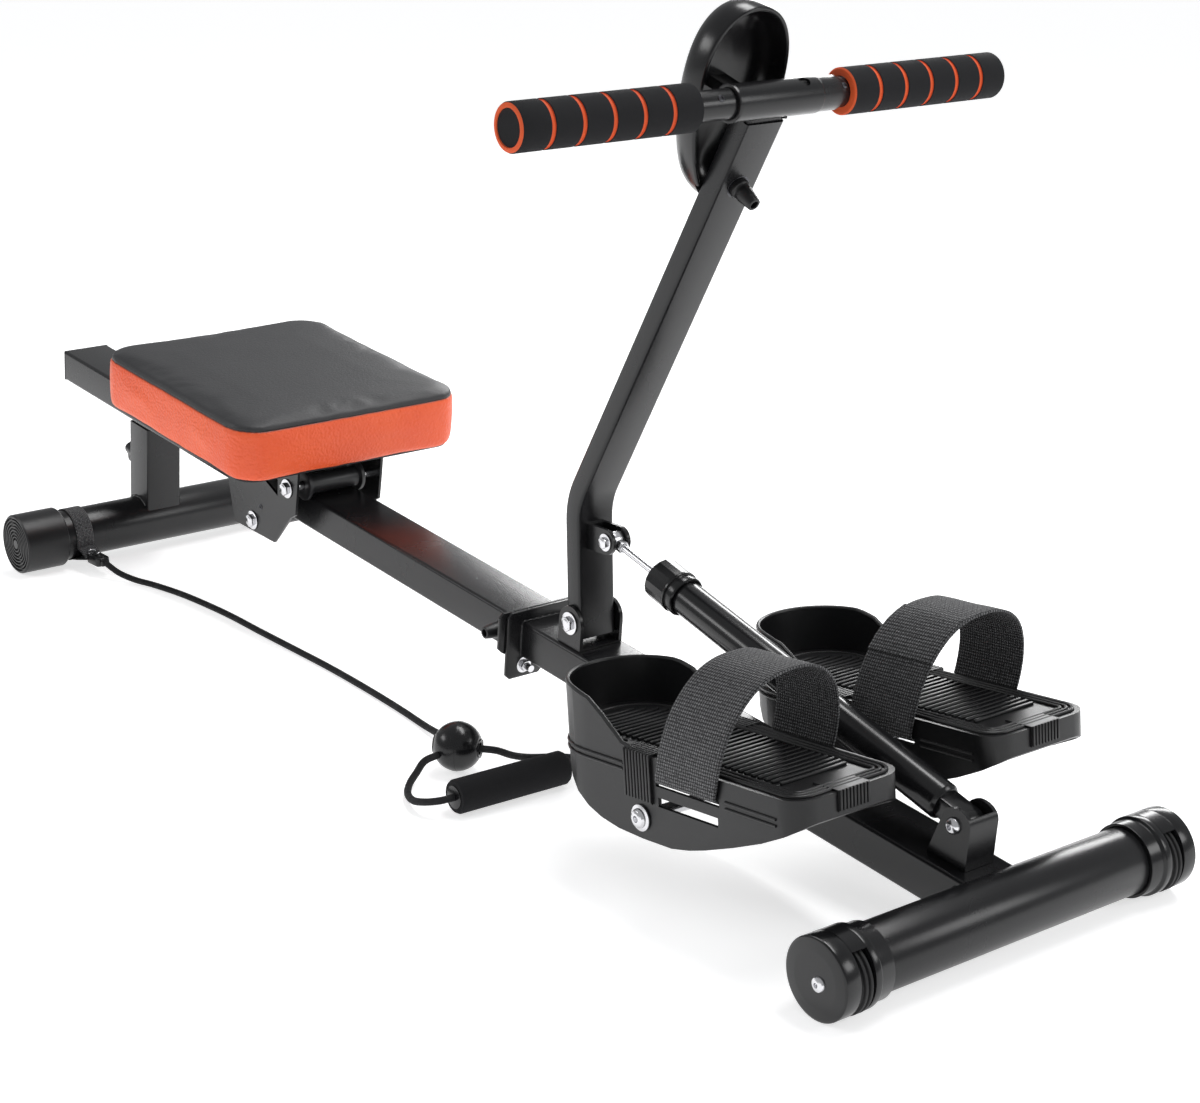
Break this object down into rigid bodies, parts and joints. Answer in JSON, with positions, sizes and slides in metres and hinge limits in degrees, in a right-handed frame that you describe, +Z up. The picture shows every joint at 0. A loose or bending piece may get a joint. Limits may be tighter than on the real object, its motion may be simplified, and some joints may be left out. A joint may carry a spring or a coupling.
{
  "type": "rowing machine",
  "caption": "Folding rowing machine: sloping box rail, sliding cushioned seat on rollers, swinging pull arm with oil damper and monitor, tilting foot pedals, pull rope.",
  "frame": {"origin": "on the floor under the middle of the machine's length", "axes": "+X towards the pedal end, +Z up, the rider's right hand on -Y"},
  "size_m": [1.37, 0.452, 0.6299],
  "materials": {
    "black_paint": "satin",
    "black_plastic": "satin",
    "soft_black": "matte",
    "black_foam": "matte",
    "orange_vinyl": "satin",
    "bright_steel": "gloss",
    "black_webbing": "matte",
    "screen_glass": "gloss",
    "white_nylon": "satin"
  },
  "bodies": {
    "front_frame": {"front_rail": "black_paint", "front_stabilizer": "black_paint", "front_cap_right": "black_plastic", "front_cap_left": "black_plastic", "wheel_screw_right": "bright_steel", "wheel_screw_left": "bright_steel", "damper_clevis": "black_paint", "damper_bolt_right": "bright_steel", "damper_bolt_left": "bright_steel", "arm_bracket": "black_paint", "arm_pivot_bolt": "bright_steel", "fold_hinge_pin": "bright_steel", "fold_stop_bolt": "bright_steel", "pedal_axle": "bright_steel", "pedal_bolt_right": "bright_steel", "pedal_bolt_left": "bright_steel", "rail_bumper": "soft_black"},
    "rear_frame": {"rear_rail": "black_paint", "rail_end_cap": "black_plastic"},
    "fold_pull_pin": {"fold_pull_pin": "black_plastic"},
    "rear_foot": {"rear_post": "black_paint", "rear_stabilizer": "black_paint", "rear_cap_right": "black_plastic", "rear_cap_left": "black_plastic", "rope_anchor": "black_webbing", "rope_main": "black_webbing", "rope_branch_far": "black_webbing", "rope_branch_near": "black_webbing", "rope_bead": "black_plastic", "rope_handle": "black_foam"},
    "height_knob": {"height_knob": "black_plastic"},
    "seat_carriage": {"seat_cushion": "orange_vinyl", "seat_board": "soft_black", "carriage": "black_paint", "upper_axle_front": "bright_steel", "upper_axle_rear": "bright_steel", "lower_axle": "bright_steel"},
    "upper_roller_front": {"upper_roller_front": "white_nylon"},
    "upper_roller_rear": {"upper_roller_rear": "white_nylon"},
    "lower_roller": {"lower_roller": "white_nylon"},
    "arm": {"arm_tube": "black_paint", "damper_top_bracket": "black_paint", "damper_top_bolt": "bright_steel"},
    "damper_rod": {"damper_rod": "bright_steel"},
    "damper_cylinder": {"damper_cylinder": "black_paint"},
    "damper_dial": {"damper_dial": "black_plastic"},
    "handlebar": {"handlebar_tee": "black_paint", "handlebar_bar": "black_paint", "grip_right": "black_foam", "grip_left": "black_foam", "monitor_housing": "black_plastic", "monitor_screen": "screen_glass"},
    "monitor_button": {"monitor_button": "white_nylon"},
    "handlebar_pin": {"handlebar_pin": "black_plastic"},
    "pedal_right": {"pedal_right": "black_plastic", "pedal_strap_right": "black_webbing"},
    "pedal_left": {"pedal_left": "black_plastic", "pedal_strap_left": "black_webbing"},
    "transport_wheel_right": {"transport_wheel_right": "soft_black"},
    "transport_wheel_left": {"transport_wheel_left": "soft_black"}
  },
  "joints": [
    {"name": "fold_hinge", "type": "hinge", "parent": "front_frame", "child": "rear_frame", "pos_m": [0.12806, 0.0345, 0.085], "axis": [0, 0, -1], "range_deg": [0, 110]},
    {"name": "fold_pin_pull", "type": "slide", "parent": "rear_frame", "child": "fold_pull_pin", "axis": [0, -1, 0], "range_m": [0, 0.008], "stiffness_N_per_m": 600},
    {"name": "rear_height", "type": "slide", "parent": "rear_frame", "child": "rear_foot", "axis": [-0.1005, 0, -0.9949], "range_m": [0, 0.05]},
    {"name": "height_knob_turn", "type": "hinge", "parent": "rear_foot", "child": "height_knob", "pos_m": [-0.55851, 0, 0.09519], "axis": [-0.9949, 0, 0.1005], "continuous": true},
    {"name": "seat_slide", "type": "slide", "parent": "rear_frame", "child": "seat_carriage", "axis": [0.9949, 0, -0.1005], "range_m": [-0.23, 0.19]},
    {"name": "upper_roller_front_turn", "type": "hinge", "parent": "seat_carriage", "child": "upper_roller_front", "pos_m": [-0.20067, 0, 0.14717], "axis": [0, 1, 0], "continuous": true},
    {"name": "upper_roller_rear_turn", "type": "hinge", "parent": "seat_carriage", "child": "upper_roller_rear", "pos_m": [-0.30215, 0, 0.15742], "axis": [0, 1, 0], "continuous": true},
    {"name": "lower_roller_turn", "type": "hinge", "parent": "seat_carriage", "child": "lower_roller", "pos_m": [-0.26505, 0, 0.10181], "axis": [0, 1, 0], "continuous": true},
    {"name": "arm_swing", "type": "hinge", "parent": "front_frame", "child": "arm", "pos_m": [0.193, 0, 0.1184], "axis": [0, -1, 0], "range_deg": [-4, 62]},
    {"name": "rod_pivot", "type": "hinge", "parent": "arm", "child": "damper_rod", "pos_m": [0.223, 0, 0.192], "axis": [0, -1, 0], "range_deg": [-59, 4]},
    {"name": "damper_slide", "type": "slide", "parent": "damper_rod", "child": "damper_cylinder", "axis": [0.965, 0, -0.2621], "range_m": [-0.006, 0.08]},
    {"name": "dial_turn", "type": "hinge", "parent": "damper_cylinder", "child": "damper_dial", "pos_m": [0.223, 0, 0.192], "axis": [0.965, 0, -0.2621], "range_deg": [0, 330]},
    {"name": "handlebar_slide", "type": "slide", "parent": "arm", "child": "handlebar", "axis": [0.5136, 0, 0.858], "range_m": [0, 0.06]},
    {"name": "handlebar_pin_pull", "type": "slide", "parent": "arm", "child": "handlebar_pin", "axis": [0.858, 0, -0.5136], "range_m": [0, 0.008], "stiffness_N_per_m": 600},
    {"name": "button_press", "type": "slide", "parent": "handlebar", "child": "monitor_button", "axis": [0.9511, 0, -0.309], "range_m": [0, 0.002], "stiffness_N_per_m": 300},
    {"name": "pedal_right_tilt", "type": "hinge", "parent": "front_frame", "child": "pedal_right", "pos_m": [0.439, -0.0943, 0.0647], "axis": [0, 1, 0], "range_deg": [-25, 15]},
    {"name": "pedal_left_tilt", "type": "hinge", "parent": "front_frame", "child": "pedal_left", "pos_m": [0.439, 0.0943, 0.0647], "axis": [0, 1, 0], "range_deg": [-25, 15]},
    {"name": "wheel_right_turn", "type": "hinge", "parent": "front_frame", "child": "transport_wheel_right", "pos_m": [0.657, -0.1535, 0.0285], "axis": [0, 1, 0], "continuous": true},
    {"name": "wheel_left_turn", "type": "hinge", "parent": "front_frame", "child": "transport_wheel_left", "pos_m": [0.657, 0.1535, 0.0285], "axis": [0, 1, 0], "continuous": true}
  ],
  "couplings": [
    {"joint": "upper_roller_front_turn", "follows": "seat_slide", "rad_per_m": 105.26},
    {"joint": "upper_roller_rear_turn", "follows": "seat_slide", "rad_per_m": 105.26},
    {"joint": "lower_roller_turn", "follows": "seat_slide", "rad_per_m": -105.26},
    {"joint": "rod_pivot", "follows": "arm_swing", "ratio": -0.948},
    {"joint": "damper_slide", "follows": "arm_swing", "m_per_rad": 0.0733}
  ]
}
